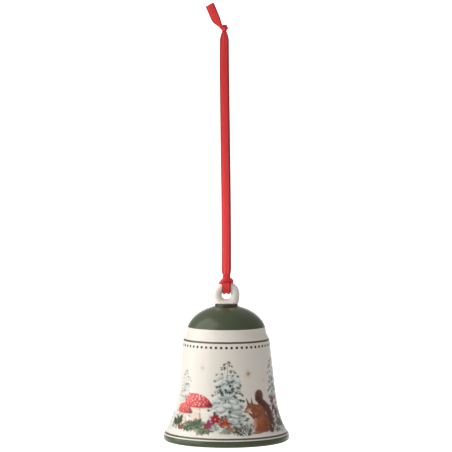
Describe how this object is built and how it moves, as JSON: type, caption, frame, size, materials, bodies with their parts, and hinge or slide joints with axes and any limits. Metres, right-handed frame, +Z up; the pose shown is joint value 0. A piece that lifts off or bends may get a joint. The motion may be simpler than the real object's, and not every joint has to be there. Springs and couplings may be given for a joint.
{
  "type": "christmas bell ornament",
  "caption": "Hanging porcelain bell ornament with a domed crown, a ring hanger, a flared rim, a swinging clapper and a knotted satin ribbon loop.",
  "frame": {"origin": "inside the top of the ribbon's loop, between its two strands and just under the knot, where a hook or a twig carries the ornament", "axes": "+Z up along the bell's axis, the painted front faces -Y, +X to the right of the front"},
  "size_m": [0.06, 0.06, 0.2082],
  "materials": {
    "glazed_porcelain": "glossy clear glaze over ivory porcelain",
    "green_glaze": "glossy dark green glaze",
    "steel_wire": "drawn bright",
    "brass_ferrule": "satin",
    "satin_ribbon": "satin weave with a soft sheen"
  },
  "bodies": {
    "ribbon": {"ribbon_front_strand": "satin_ribbon", "ribbon_back_strand": "satin_ribbon", "ribbon_knot": "satin_ribbon", "ribbon_front_tail": "satin_ribbon", "ribbon_back_tail": "satin_ribbon"},
    "hitch": {"ribbon_hitch": "satin_ribbon"},
    "bell": {"bell_shell": "glazed_porcelain", "neck_collar": "green_glaze", "hanger_ring": "glazed_porcelain", "crown_lug": "glazed_porcelain"},
    "clapper_link": {"clapper_link": "steel_wire"},
    "clapper": {"clapper_stem": "steel_wire", "clapper_ball": "glazed_porcelain", "clapper_stop": "brass_ferrule"}
  },
  "joints": [
    {"name": "ribbon_bend", "type": "hinge", "parent": "ribbon", "child": "hitch", "pos_m": [0, 0, -0.1149], "axis": [1, 0, 0], "range_deg": [-40, 40]},
    {"name": "ring_in_hitch", "type": "hinge", "parent": "hitch", "child": "bell", "pos_m": [0, 0, -0.12425], "axis": [0, 1, 0], "range_deg": [-30, 30]},
    {"name": "link_swing", "type": "hinge", "parent": "bell", "child": "clapper_link", "pos_m": [0, 0, -0.13722], "axis": [1, 0, 0], "range_deg": [-15, 15]},
    {"name": "stem_swing", "type": "hinge", "parent": "clapper_link", "child": "clapper", "pos_m": [0, 0, -0.14347], "axis": [0, 1, 0], "range_deg": [-15, 15]}
  ]
}
